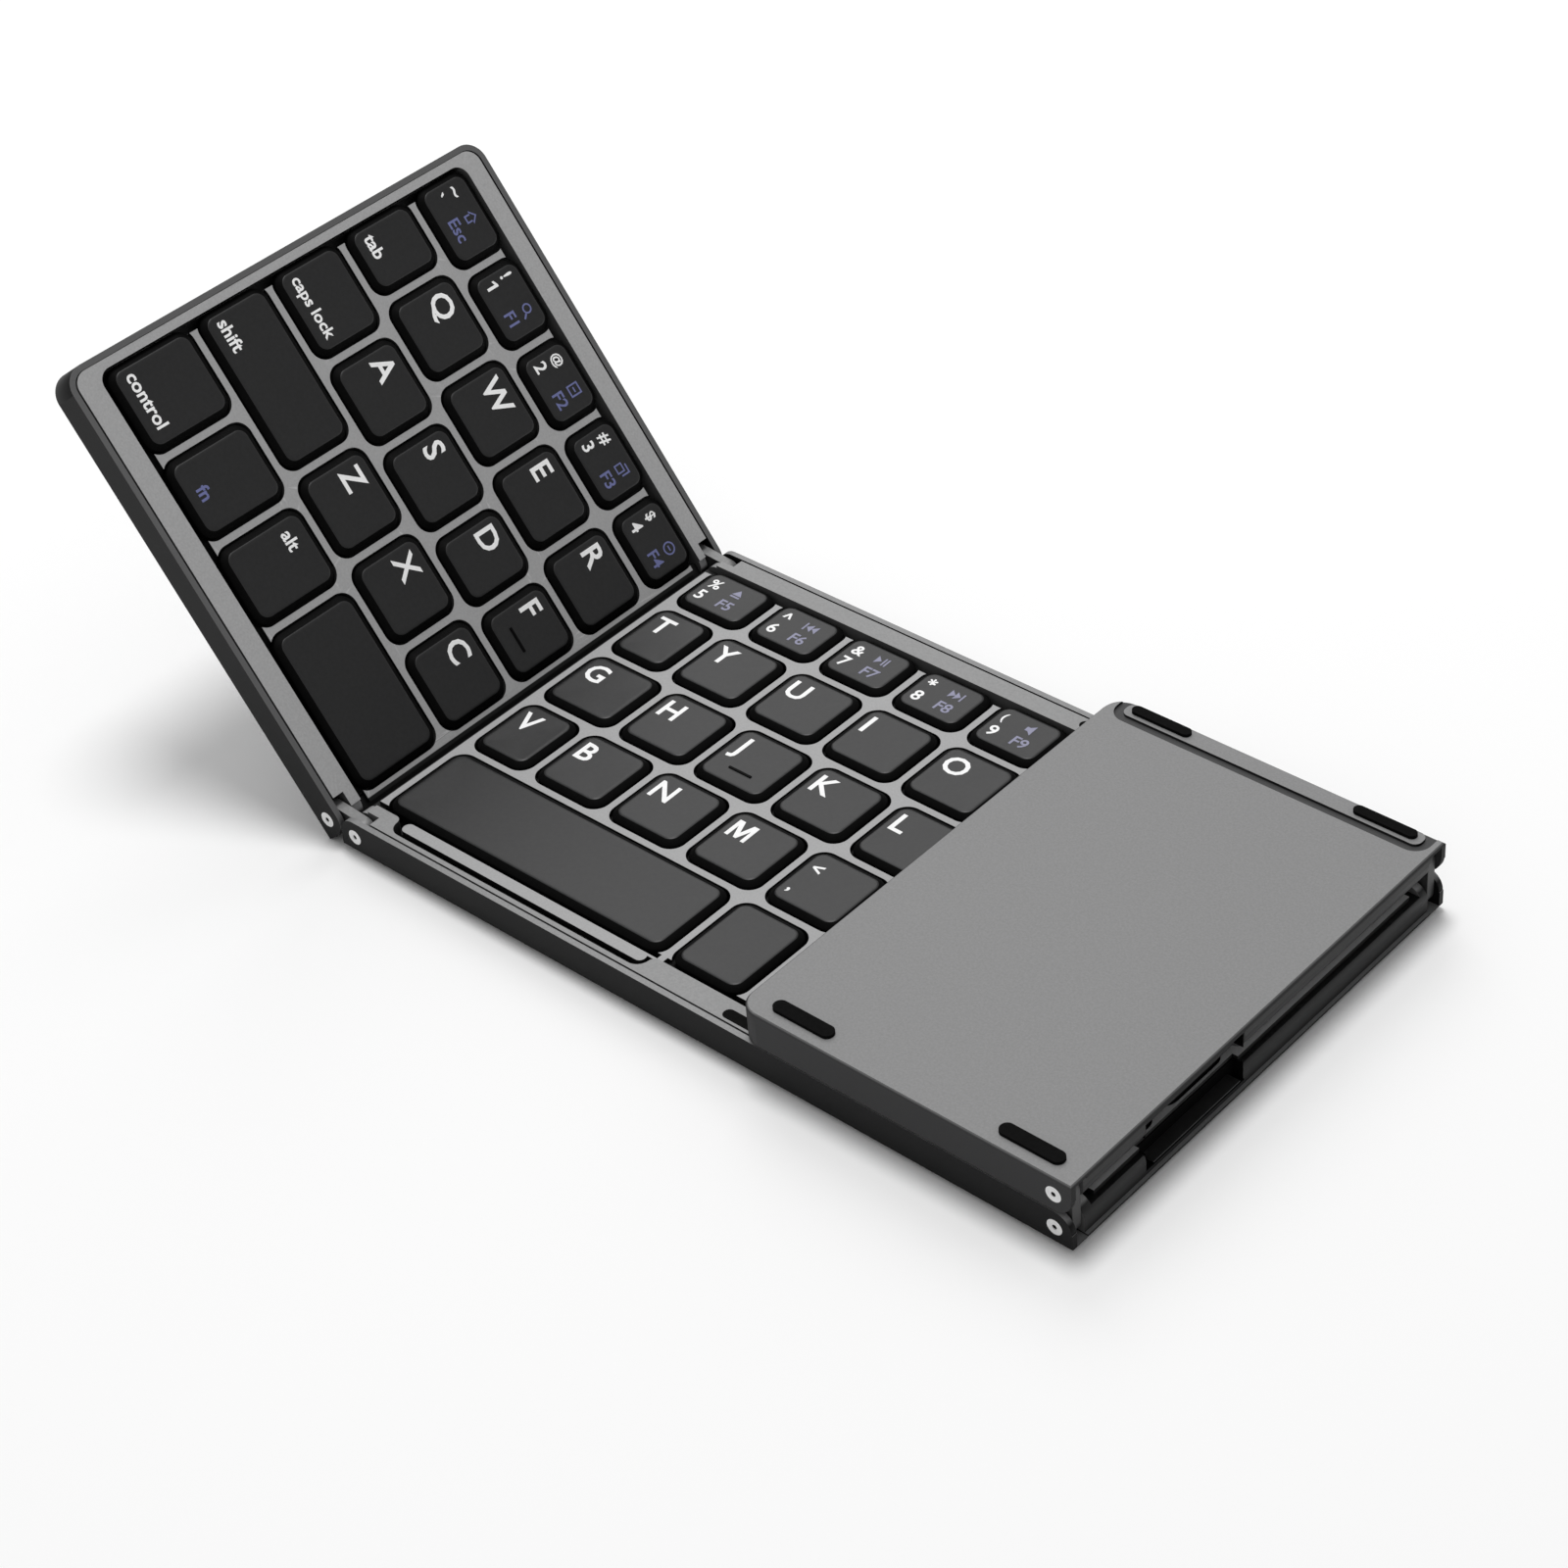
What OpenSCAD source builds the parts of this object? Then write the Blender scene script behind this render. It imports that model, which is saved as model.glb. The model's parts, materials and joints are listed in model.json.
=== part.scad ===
/* [Panels] */
// length of the middle panel between its two end walls
mid_l = 157.5; // [140:0.5:180]
// length of the left wing
left_l = 90.5; // [75:0.1:95]
// length of the right wing
right_l = 65.8; // [50:0.1:75]
// depth of every panel, front to rear
depth = 97.5; // [88:0.5:110]
// thickness of a panel without its feet
thick = 6.5; // [6.2:0.1:8]
// thickness of the outer metal face
floor_t = 0.8; // [0.6:0.1:1]
// thickness of the metal side walls
wall = 1.1; // [0.9:0.1:1.4]
// bevel along the outer edges
bevel = 0.4; // [0.2:0.05:0.6]
// corner radius of the free end of a wing
corner_r = 4; // [2:0.5:6]

/* [Pose] */
// how far the left wing is raised from flat
left_raise = 53; // [0:1:90]
// how far the left links are raised from flat
left_link_raise = 5; // [0:1:10]

/* [Hinges] */
// air left between the faces of two stacked panels
stack_gap = 0.3; // [0.2:0.05:0.6]
// air between two end walls when the keyboard lies flat
butt_gap = 0.05; // [0.02:0.01:0.2]
// half height of a link plate
link_r = 2.4; // [2:0.1:2.6]
// thickness of a link plate
link_t = 2; // [1.5:0.1:2.2]
// diameter of a hinge pin
pin_d = 1.8; // [1.4:0.1:2]
// diameter of a pin head
pin_head_d = 2.9; // [2.4:0.1:3.2]
// thickness of a pin head
pin_head_t = 0.5; // [0.3:0.1:0.7]
// running clearance of a pin in its link
pin_fit = 0.05; // [0.02:0.01:0.1]
// clearance round a moving link
link_air = 0.3; // [0.3:0.05:0.5]
// clearance beside a moving link
link_side_air = 0.25; // [0.2:0.05:0.4]
// more clearance in front of a link end
link_end_air = 0.15; // [0.1:0.05:0.3]
// how far a pin reaches into the wall behind the link
pin_seat = 1.1; // [0.8:0.1:1.5]
// diameter of the dimple in a pin head
dimple_d = 0.9; // [0.6:0.1:1.2]
// depth of that dimple
dimple_t = 0.35; // [0.2:0.05:0.45]
// radius of the round edge beside the fold
barrel_r = 2.75; // [2.4:0.05:3]
// width of the opening for the ribbon cable
cable_w = 25; // [15:1:35]
// place of the middle of that opening, front to rear
cable_y = -17.5; // [-25:0.5:25]
// floor left under that opening
cable_floor = 0.7; // [0.4:0.1:1]
// height of the slot that leads the cable inside
cable_slot = 0.4; // [0.3:0.05:0.6]
// thickness of the cable
cable_t = 0.2; // [0.1:0.05:0.25]
// length of the cable end that lies in the slot
cable_l = 3.8; // [3:0.1:5]

/* [Keys] */
// pitch of the letter keys
pitch = 17.66; // [16:0.02:19]
// pitch of the number keys
num_pitch = 16.84; // [15.5:0.02:18]
// pitch of the rows
row_pitch = 17.35; // [16:0.05:18]
// front edge of the fourth row opening
row_y = -21.4; // [-24:0.1:-19]
// width of the web between two keys
web_w = 1.3; // [1:0.1:2]
// web surface below the bezel
web_drop = 0.9; // [0.6:0.1:1.2]
// thickness of the web
web_t = 0.9; // [0.6:0.1:1.2]
// air between a key and the web
key_air = 0.42; // [0.3:0.02:0.6]
// slope of the key sides, measured flat
key_slope = 1.1; // [0.6:0.1:1.4]
// height of a key cap
cap_h = 2.3; // [2:0.1:2.6]
// wall of a key cap
cap_wall = 0.8; // [0.6:0.1:1.2]
// corner radius of a key opening
hole_r = 3; // [2.5:0.1:3.5]
// rim of the web left out beside the bezel
web_back = 1.8; // [1:0.1:2.5]
// how much narrower than the pitch the first home key is
f_short = 3.3; // [2:0.1:4.5]
// how much narrower than the pitch the second home key is
d_short = 2.2; // [1:0.1:3]
// length of the left space bar with half of its web, from the pin
left_space_l = 31.6; // [28:0.1:34]
// pitch of the other keys in that row
front_pitch = 17.15; // [16:0.05:18]
// first web of the four upper rows of the middle panel, from the pin
mid_first = [16.3, 13.6, 17.1, 13.6]; // [11:0.1:19]
// far end of the space bar, from the pin
space_l = 64.8; // [60:0.1:70]
// how much the keys beside the space bar stand nearer to it
front_short = 0.6; // [0:0.1:1.5]
// length of the bar on the two home keys
bar_l = 5; // [3:0.5:6]
// width of that bar
bar_w = 0.5; // [0.3:0.1:0.6]
// height of that bar above the key top
bar_h = 0.12; // [0.1:0.01:0.2]
// place of that bar behind the front edge of its opening
bar_y = 4.4; // [3.5:0.1:6]

/* [Bezel] */
// place of the inner edge of the front bezel
front_in = -42.9; // [-44:0.1:-40]
// place of the inner edge of the rear bezel
rear_in = 43.5; // [42:0.1:45]
// width of the bezel at the free end of a wing
end_bezel = 1.6; // [1.5:0.1:4]
// groove between bezel and side wall
groove = 0.35; // [0.3:0.1:0.8]
// depth of that groove
groove_d = 0.8; // [0.4:0.1:1.2]
// key openings of the front row behind the front bezel
front_back = 0.9; // [0:0.1:1.5]
// width of the front bezel beside the space bar
space_bezel = 0.9; // [0.8:0.1:2]
// start of the opening for the space bar, from the end wall
notch_x0 = 9.6; // [7:0.1:12]
// radius where that opening leaves the key field
notch_r = 1.3; // [0.8:0.1:1.6]
// start of the web strip in front of the space bar
strip_x0 = 10.4; // [8:0.1:13]
// front edge of that strip
strip_y0 = -44.5; // [-45:0.1:-43.5]
// rear edge of that strip
strip_y1 = -42.2; // [-42.5:0.1:-41.5]
// corner radius of a key field
field_r = 2.6; // [1.5:0.1:3]

/* [Feet] */
// height of the feet
foot_h = 0.6; // [0.5:0.05:1.2]
// length of a foot
foot_l = 12; // [8:0.5:16]
// width of a front foot
foot_w = 2.6; // [2:0.1:4]
// width of the rear foot rail
rail_w = 3.3; // [2.5:0.1:4]
// width of the groove in front of the rail
moat_w = 1.7; // [1:0.1:2.5]
// depth of that groove
moat_d = 0.5; // [0.2:0.05:0.6]
// depth of the pocket that a foot is glued into
foot_sink = 0.3; // [0.2:0.05:0.5]
// first and last foot from the ends, middle panel and left wing
foot_in = 8; // [5:0.5:15]
// first foot of the right wing from its fold
right_foot_in = 4; // [3:0.1:8]
// last foot of the right wing from its free end
right_foot_out = 5.1; // [4:0.1:8]
// front edge of the front feet
foot_y = -46.4; // [-46.8:0.1:-44]
// width of a rear foot
rear_foot_w = 2; // [1.6:0.1:3]
// front edge of the rear feet
rear_foot_y = 44.8; // [42:0.1:45]
// rail behind the rear edge of the right wing
rail_back = 0.4; // [0.3:0.05:0.8]
// start of the rail from the fold
rail_in = 3; // [2:0.1:6]
// end of the rail from the free end
rail_out = 3.5; // [3:0.1:8]
// corner radius of the rail
rail_r = 1.4; // [0.8:0.1:1.6]
// length of a bumper on the bezel
bump_l = 12; // [8:0.5:16]
// width of a bumper
bump_w = 2.2; // [1.6:0.1:2.6]
// thickness of a bumper
bump_t = 0.9; // [0.5:0.1:1.2]
// start of the bumpers from the left end wall
bump_x = 86; // [60:1:110]
// front edges of the two bumpers
bump_y = [-46.8, 44.6]; // [-47:0.1:46]

/* [Inside] */
// thickness of a key plate
plate_t = 0.4; // [0.3:0.05:0.6]
// underside of a key plate above the outer face
plate_z = 1.9; // [1.5:0.1:2.2]
// thickness of the battery
batt_t = 2.6; // [2:0.1:3.2]
// thickness of a circuit board
board_t = 0.8; // [0.6:0.1:1.2]
// thickness of the touch surface
touch_t = 0.7; // [0.5:0.1:1]
// touch surface below the bezel
touch_sink = 0.1; // [0.05:0.05:0.3]
// air round the touch surface
touch_air = 0.2; // [0.1:0.05:0.3]
// ledge that carries the touch surface
touch_lip = 1.5; // [1:0.1:2.5]
// near edge of the touch opening, from the end wall
touch_u0 = 6; // [5:0.1:8]
// far edge of the touch opening, from the free end
touch_out = 5; // [4:0.1:8]
// half length of the touch opening
touch_y = 40; // [30:0.5:42]
// front and rear edge of the battery
batt_y = [-34, 6]; // [-36:0.5:9]
// front edge of the main board
board_y = 10; // [8:0.5:14]
// place of the two chips on the main board
chip_at = [[12, 16], [28, 18]];
// length, width and height of the two chips
chip_size = [[8, 8, 1], [5, 5, 0.8]];
// near edge of the charging socket opening
socket_u = 30; // [20:0.5:40]
// width of that opening
socket_w = 8.4; // [7.5:0.1:9]
// height of that opening
socket_h = 3.2; // [2.6:0.1:3.6]
// length of the charging socket
socket_l = 6; // [5:0.1:8]
// sheet thickness of the charging socket
socket_t = 0.4; // [0.3:0.05:0.6]
// air round the charging socket
socket_air = 0.2; // [0.1:0.05:0.3]
// length, width and thickness of a key support
support = [9, 8, 0.35]; // [0.2:0.05:12]
// width of the bars of a key support
support_bar = 1; // [0.6:0.1:1.5]
// radius of the dome under a key
dome_r = 1.5; // [1:0.1:2]
// thickness of the ribs under a key plate
rib_t = 1.2; // [0.8:0.1:2]
// pitch of those ribs
rib_pitch = 30; // [20:1:38]
// thickness of the ribs under the web
row_rib_t = 0.6; // [0.4:0.1:0.8]

/* [Hidden] */
$fn = 48;
e = 0.01;
mid_z = thick / 2;
link_c = thick + stack_gap;
pin_u = (link_c - butt_gap) / 2;
web_z = thick - web_drop;
web_lo = web_z - web_t;
half = depth / 2;
in_y = half - wall;
link_y1 = in_y - link_side_air;
link_y0 = link_y1 - link_t;
notch_y0 = link_y0 - link_air;
notch_u = pin_u + link_r + link_air + link_end_air;
notch_z = mid_z - link_r - link_air;
pin_end = notch_y0 - pin_seat;
field_u = pin_u + 0.05;
plate_top = plate_z + plate_t;
bezel_lo = plate_z - 0.4;
cable_z = plate_top + 0.05;
cable_in = pin_u - 0.4;
strip_u = pin_u - sqrt(barrel_r * barrel_r - (web_z - mid_z) * (web_z - mid_z));
left_field = left_l - wall - 0.1 - end_bezel;
cap_z = thick - cap_h;
row1_y = row_y + 3 * row_pitch;
// the middle panel is moved so that the whole keyboard stands centred on the origin
left_reach = link_c * cos(left_link_raise) + (left_l - bevel - pin_u) * cos(left_raise)
    + mid_z * sin(left_raise) - pin_u;
mid_x = left_reach / 2;
left_pin = [mid_x - mid_l / 2 + pin_u, 0, foot_h + mid_z];
right_pin = [mid_x + mid_l / 2 - pin_u, 0, foot_h + mid_z];
left_wing_pin = left_pin + link_c * [-cos(left_link_raise), 0, sin(left_link_raise)];
right_wing_pin = right_pin + [0, 0, link_c];
row_lo = [row1_y, row_y + 2 * row_pitch, row_y + row_pitch, row_y, front_in + front_back];
row_hi = [
    rear_in,
    row_y + 3 * row_pitch - web_w,
    row_y + 2 * row_pitch - web_w,
    row_y + row_pitch - web_w,
    row_y - web_w
];
mid_end = mid_l - field_u;
// one row of openings: near edge and far edge of each, measured from the fold
function run(first, step, n, last) = [
    for (k = [0 : n]) [
        k == 0 ? field_u : first + (k - 1) * step + web_w,
        k == n ? last : first + k * step
    ]
];
left_1 = run(pin_u + num_pitch - web_w, num_pitch, 4, left_field);
left_2 = run(pin_u + pitch - web_w, pitch, 4, left_field);
left_3 = concat(
    [
        [field_u, pin_u + pitch - f_short],
        [pin_u + pitch - f_short + web_w, pin_u + 2 * pitch - f_short - d_short]
    ],
    [
        for (k = [2 : 4]) [
            pin_u + k * pitch - f_short - d_short + web_w,
            k == 4 ? left_field : pin_u + (k + 1) * pitch - f_short - d_short
        ]
    ]
);
left_4 = run(pin_u + pitch - web_w, pitch, 3, left_field);
left_5 = run(pin_u + left_space_l, front_pitch, 3, left_field);
left_rows = [left_1, left_2, left_3, left_4, left_5];
mid_1 = run(pin_u + mid_first[0], num_pitch, 8, mid_end);
mid_2 = run(pin_u + mid_first[1], pitch, 8, mid_end);
mid_3 = run(pin_u + mid_first[2], pitch, 7, mid_end);
mid_4 = run(pin_u + mid_first[3], pitch, 7, mid_end);
space_end = pin_u + space_l;
notch_x1 = space_end;
mid_5 = concat(
    [[field_u, space_end]],
    [
        for (k = [0 : 4]) [
            space_end + k * pitch - (k ? front_short : 0) + web_w,
            k == 4 ? mid_end : space_end + (k + 1) * pitch - front_short
        ]
    ]
);
mid_rows = [mid_1, mid_2, mid_3, mid_4, mid_5];

// places: each panel is drawn flat, from its fold outward, outer face down
module on_middle() {
    translate([mid_x - mid_l / 2, 0, foot_h])
        children();
}

module on_left() {
    translate(left_wing_pin)
        rotate([0, left_raise, 0])
            translate([pin_u, 0, -mid_z])
                mirror([1, 0, 0])
                    children();
}

module on_right() {
    translate(right_wing_pin)
        rotate([0, -180, 0])
            translate([-pin_u, 0, -mid_z])
                children();
}

module both_sides() {
    children();
    mirror([0, 1, 0])
        children();
}

// block between two corners
module block(a, b) {
    translate(a)
        cube([b[0] - a[0], b[1] - a[1], b[2] - a[2]]);
}

module rounded(x0, x1, y0, y1, r) {
    translate([x0 + r, y0])
        square([x1 - x0 - 2 * r, y1 - y0]);
    translate([x0, y0 + r])
        square([x1 - x0, y1 - y0 - 2 * r]);
    for (x = [x0 + r, x1 - r], y = [y0 + r, y1 - r])
        translate([x, y])
            circle(r = r);
}

module slab(x0, x1, y0, y1, r, z0, z1) {
    translate([0, 0, z0])
        linear_extrude(z1 - z0)
            rounded(x0, x1, y0, y1, r);
}

// rounded block whose four sides lean inward by s over its height
module leaning(x0, x1, y0, y1, r, s, h) {
    w = x1 - x0;
    d = y1 - y0;
    translate([x0 + w / 2, y1 - r, 0])
        rotate([90, 0, 0])
            linear_extrude(d - 2 * r)
                polygon([[-w / 2, 0], [w / 2, 0], [w / 2 - s, h], [s - w / 2, h]]);
    translate([x0 + r, y0 + d / 2, 0])
        rotate([90, 0, 90])
            linear_extrude(w - 2 * r)
                polygon([[-d / 2, 0], [d / 2, 0], [d / 2 - s, h], [s - d / 2, h]]);
    for (x = [x0 + r, x1 - r], y = [y0 + r, y1 - r])
        translate([x, y, 0])
            cylinder(h = h, r1 = r, r2 = r - s);
}

// bar along the fold whose bezel side is round about the pin
module fold_profile(r, y0, y1) {
    translate([pin_u, y0, mid_z])
        rotate([-90, 0, 0])
            cylinder(h = y1 - y0, r = r);
}

// everything that has to go beside a fold so that the panels can turn
module fold_relief(r) {
    difference() {
        block([-1, -half - 1, mid_z], [pin_u, half + 1, thick + 1]);
        fold_profile(r, -half - 2, half + 2);
    }
}

module link_notch() {
    both_sides()
        block([-1, notch_y0, notch_z], [notch_u, in_y, thick + 1]);
}

module pin_holes(u) {
    both_sides() {
        translate([u, half + e, mid_z])
            rotate([90, 0, 0])
                cylinder(h = half - pin_end + e, d = pin_d);
        translate([u, half + 1, mid_z])
            rotate([90, 0, 0])
                cylinder(h = pin_head_t + 1, d = pin_head_d);
    }
}

module pins(u) {
    both_sides()
        translate([u, half, mid_z])
            rotate([90, 0, 0])
                difference() {
                    union() {
                        cylinder(h = half - pin_end, d = pin_d);
                        cylinder(h = pin_head_t, d = pin_head_d);
                    }
                    translate([0, 0, -1])
                        cylinder(h = 1 + dimple_t, d = dimple_d);
                }
}

// plain outline of a panel: bevelled outer edges, long edges straight
module panel_body(len, both) {
    over = 2 * corner_r;
    x0 = -over;
    x1 = both ? len + over : len;
    intersection() {
        union() {
            slab(x0, x1, -half, half, corner_r, bevel, thick);
            translate([0, 0, bevel])
                mirror([0, 0, 1])
                    leaning(x0, x1, -half, half, corner_r, bevel, bevel);
        }
        block([0, -half - 1, -1], [len, half + 1, thick + 1]);
    }
}

// small bevel on the outer corner of a fold
module fold_bevel() {
    rotate([-90, 0, 0])
        linear_extrude(depth + 2, center = true)
            polygon([[-1, 1], [-1, -bevel - 1], [0, -bevel], [bevel, 0], [bevel + 1, 1]]);
}

module cavity(len, both) {
    x0 = -2 * corner_r;
    x1 = both ? len + 2 * corner_r : len - wall;
    slab(x0, x1, -in_y, in_y, corner_r - wall, floor_t, thick + 1);
}

module key_ribs(u0, u1) {
    for (k = [-1 : 1])
        block([u0, k * rib_pitch - rib_t / 2, floor_t - e],
            [u1, k * rib_pitch + rib_t / 2, plate_z]);
}

module shell(len, both, ribbed) {
    difference() {
        union() {
            difference() {
                panel_body(len, both);
                cavity(len, both);
            }
            if (ribbed)
                key_ribs(notch_u + 2, len - (both ? notch_u + 2 : 6));
        }
        fold_relief(mid_z);
        fold_bevel();
        link_notch();
        pin_holes(pin_u);
        if (both)
            translate([len, 0, 0])
                mirror([1, 0, 0]) {
                    fold_relief(mid_z);
                    fold_bevel();
                    link_notch();
                    pin_holes(pin_u);
                }
    }
}

// opening in the bezel round a field of keys, square beside a fold
module field_cut(u0, u1, both) {
    slab(u0, u1, front_in, rear_in, field_r, bezel_lo, thick + 1);
    block([u0, front_in, bezel_lo], [u0 + field_r, rear_in, thick + 1]);
    if (both)
        block([u1 - field_r, front_in, bezel_lo], [u1, rear_in, thick + 1]);
}

module bezel_block(len, both) {
    x1 = both ? len + 2 * corner_r : len - wall;
    r = corner_r - wall;
    slab(-2 * corner_r, x1, -in_y, in_y, r, floor_t, thick - groove_d);
    slab(-2 * corner_r, both ? x1 : x1 - 0.1, groove - in_y, in_y - groove, r - 0.1,
        thick - groove_d - e, thick);
}

// fold side of a bezel: low bar, round edge and the seat of the web
module fold_side() {
    difference() {
        block([-1, -half, 0], [pin_u, half, thick + 1]);
        block([pin_u - barrel_r + 0.02, -half - 1, -1], [pin_u + 1, half + 1, mid_z - 0.1]);
        fold_profile(barrel_r, -half - 1, half + 1);
    }
}

module web_seat() {
    block([-1, front_in, web_lo], [field_u, rear_in, thick + 1]);
}

// opening for the ribbon cable, and the slot that leads it inside
module cable_cut() {
    block([-1, cable_y - cable_w / 2, floor_t + cable_floor],
        [cable_in, cable_y + cable_w / 2, thick + 1]);
    block([-1, cable_y - cable_w / 2 + 1, cable_z],
        [field_u + 1, cable_y + cable_w / 2 - 1, cable_z + cable_slot]);
}

module frame_common(len, both) {
    intersection() {
        bezel_block(len, both);
        block([0, -half, 0], [len, half, thick]);
    }
}

module end_cuts() {
    fold_side();
    web_seat();
    link_notch();
    pin_holes(pin_u);
}

// openings of all rows, cut from z0 to z1
module openings(rows, z0, z1) {
    for (i = [0 : len(rows) - 1])
        for (k = [0 : len(rows[i]) - 1])
            slab(rows[i][k][0], rows[i][k][1], row_lo[i], row_hi[i], hole_r, z0, z1);
}

module key_plate(u1) {
    slab(field_u + 0.3, u1 - 0.3, front_in + 0.3, rear_in - 0.3, field_r - 0.2,
        plate_z, plate_top);
}

module row_ribs(u0, u1) {
    for (i = [0 : 3])
        block([u0, row_y + i * row_pitch - (web_w + row_rib_t) / 2, plate_top],
            [u1, row_y + i * row_pitch - (web_w - row_rib_t) / 2, web_lo + e]);
}

// key cap standing in its opening, hollow below
module cap(o, lo, hi) {
    x0 = o[0] + key_air;
    x1 = o[1] - key_air;
    y0 = lo + key_air;
    y1 = hi - key_air;
    r = hole_r - 0.1;
    translate([0, 0, cap_z])
        difference() {
            union() {
                slab(x0, x1, y0, y1, r, 0, web_z - cap_z);
                translate([0, 0, web_z - cap_z])
                    leaning(x0, x1, y0, y1, r, key_slope, thick - web_z);
            }
            slab(x0 + cap_wall, x1 - cap_wall, y0 + cap_wall, y1 - cap_wall,
                r - cap_wall, -1, cap_h - 1);
        }
}

// small bar that a finger finds on the two home keys
module finger_bar(o, lo) {
    cx = (o[0] + o[1]) / 2;
    block([cx - bar_l / 2, lo + bar_y, thick - 0.1],
        [cx + bar_l / 2, lo + bar_y + bar_w, thick + bar_h]);
}

module left_cap(i, k) {
    color([0.16, 0.16, 0.17])
        on_left()
            cap(left_rows[i][k], row_lo[i], row_hi[i]);
}

module mid_caps(i, ks) {
    color([0.2, 0.2, 0.21])
        on_middle()
            for (k = ks)
                cap(mid_rows[i][k], row_lo[i], row_hi[i]);
}

// flat crossed key support lying on the key plate
module key_support(o, lo, hi) {
    cx = (o[0] + o[1]) / 2;
    cy = (lo + hi) / 2;
    sx = min(support[0], o[1] - o[0] - 4) / 2;
    sy = min(support[1], hi - lo - 4.6) / 2;
    b = support_bar;
    difference() {
        block([cx - sx, cy - sy, plate_top], [cx + sx, cy + sy, plate_top + support[2]]);
        block([cx - sx + b, cy - sy + b, 0], [cx + sx - b, cy + sy - b, thick]);
    }
    translate([cx, cy, plate_top])
        cylinder(h = support[2], r = dome_r);
}

module foot(x0, y0, w) {
    slab(x0, x0 + foot_l, y0, y0 + w, w / 2 - e, -foot_h, foot_sink);
}

module foot_set(len, inset, far) {
    for (x = [inset, len - far - foot_l])
        foot(x, foot_y, foot_w);
}

module rear_feet(len, inset) {
    for (x = [inset, len - inset - foot_l])
        foot(x, rear_foot_y, rear_foot_w);
}

// ---- middle panel ----
module middle_shell() {
    color([0.45, 0.45, 0.46])
        on_middle()
            difference() {
                shell(mid_l, true, true);
                foot_set(mid_l, foot_in, foot_in);
                rear_feet(mid_l, foot_in);
                translate([mid_l, 0, 0])
                    mirror([1, 0, 0])
                        cable_cut();
            }
}

// room in the front bezel for the web strip before the space bar
module space_notch() {
    slab(notch_x0, notch_x1, space_bezel + groove - in_y, front_in + 8, field_r - 0.2,
        bezel_lo, thick + 1);
    for (side = [0, 1])
        translate([side ? notch_x1 : notch_x0, front_in, bezel_lo])
            mirror([side ? 0 : 1, 0, 0])
                difference() {
                    translate([-e, -notch_r, 0])
                        cube([notch_r + e, notch_r + e, thick]);
                    translate([notch_r, -notch_r, -1])
                        cylinder(h = thick + 2, r = notch_r);
                }
}

module bumper_pair(over) {
    for (y = bump_y)
        slab(bump_x, bump_x + bump_l, y, y + bump_w, bump_w / 2 - e, thick - bump_t,
            thick + over);
}

module middle_frame() {
    color([0.5, 0.5, 0.51])
        on_middle()
            difference() {
                frame_common(mid_l, true);
                field_cut(field_u, mid_end, true);
                space_notch();
                end_cuts();
                translate([mid_l, 0, 0])
                    mirror([1, 0, 0]) {
                        end_cuts();
                        cable_cut();
                    }
                bumper_pair(1);
                block([field_u, front_in + e, 0], [mid_end, rear_in - e, plate_z]);
            }
}

module middle_web() {
    color([0.56, 0.56, 0.57])
        on_middle() {
            difference() {
                union() {
                    block([strip_u, front_in + web_back, web_lo],
                        [mid_l - strip_u, rear_in - web_back, web_z]);
                    slab(strip_x0, notch_x1 - 1.6, strip_y0, strip_y1, 1.1, web_lo, web_z);
                    block([notch_x1 - 3, front_in + 0.2, web_lo],
                        [space_end + web_w, strip_y1, web_z]);
                    block([space_end, front_in + 0.2, web_lo],
                        [space_end + web_w, front_in + 3, web_z]);
                }
                openings(mid_rows, web_lo - 1, web_z + 1);
                translate([mid_l, 0, 0])
                    mirror([1, 0, 0])
                        cable_cut();
            }
            row_ribs(field_u + 1, mid_end - 1);
        }
}

module middle_key_plate() {
    color([0.6, 0.6, 0.62])
        on_middle()
            key_plate(mid_end);
}

module middle_key_supports() {
    color([0.85, 0.85, 0.83])
        on_middle()
            for (i = [0 : 4])
                for (k = [0 : len(mid_rows[i]) - 1])
                    key_support(mid_rows[i][k], row_lo[i], row_hi[i]);
}

module middle_feet() {
    color([0.06, 0.06, 0.06])
        on_middle() {
            foot_set(mid_l, foot_in, foot_in);
            rear_feet(mid_l, foot_in);
        }
}

module middle_bumpers() {
    color([0.06, 0.06, 0.06])
        on_middle()
            bumper_pair(0);
}

module middle_hinge_pins() {
    color([0.85, 0.85, 0.85])
        on_middle() {
            pins(pin_u);
            pins(mid_l - pin_u);
        }
}

// ---- left wing ----
module left_shell() {
    color([0.45, 0.45, 0.46])
        on_left()
            difference() {
                shell(left_l, false, true);
                foot_set(left_l, foot_in, foot_in);
                rear_feet(left_l, foot_in);
            }
}

module left_frame() {
    color([0.5, 0.5, 0.51])
        on_left()
            difference() {
                frame_common(left_l, false);
                field_cut(field_u, left_field, false);
                end_cuts();
                block([field_u, front_in + e, 0], [left_field - e, rear_in - e, plate_z]);
            }
}

module left_web() {
    color([0.56, 0.56, 0.57])
        on_left() {
            difference() {
                block([strip_u, front_in + web_back, web_lo],
                    [left_field - web_back, rear_in - web_back, web_z]);
                openings(left_rows, web_lo - 1, web_z + 1);
            }
            row_ribs(field_u + 1, left_field - web_back);
        }
}

module left_key_plate() {
    color([0.6, 0.6, 0.62])
        on_left()
            key_plate(left_field);
}

module left_key_supports() {
    color([0.85, 0.85, 0.83])
        on_left()
            for (i = [0 : 4])
                for (k = [0 : len(left_rows[i]) - 1])
                    key_support(left_rows[i][k], row_lo[i], row_hi[i]);
}

module left_feet() {
    color([0.06, 0.06, 0.06])
        on_left() {
            foot_set(left_l, foot_in, foot_in);
            rear_feet(left_l, foot_in);
        }
}

module left_hinge_pins() {
    color([0.85, 0.85, 0.85])
        on_left()
            pins(pin_u);
}

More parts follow.
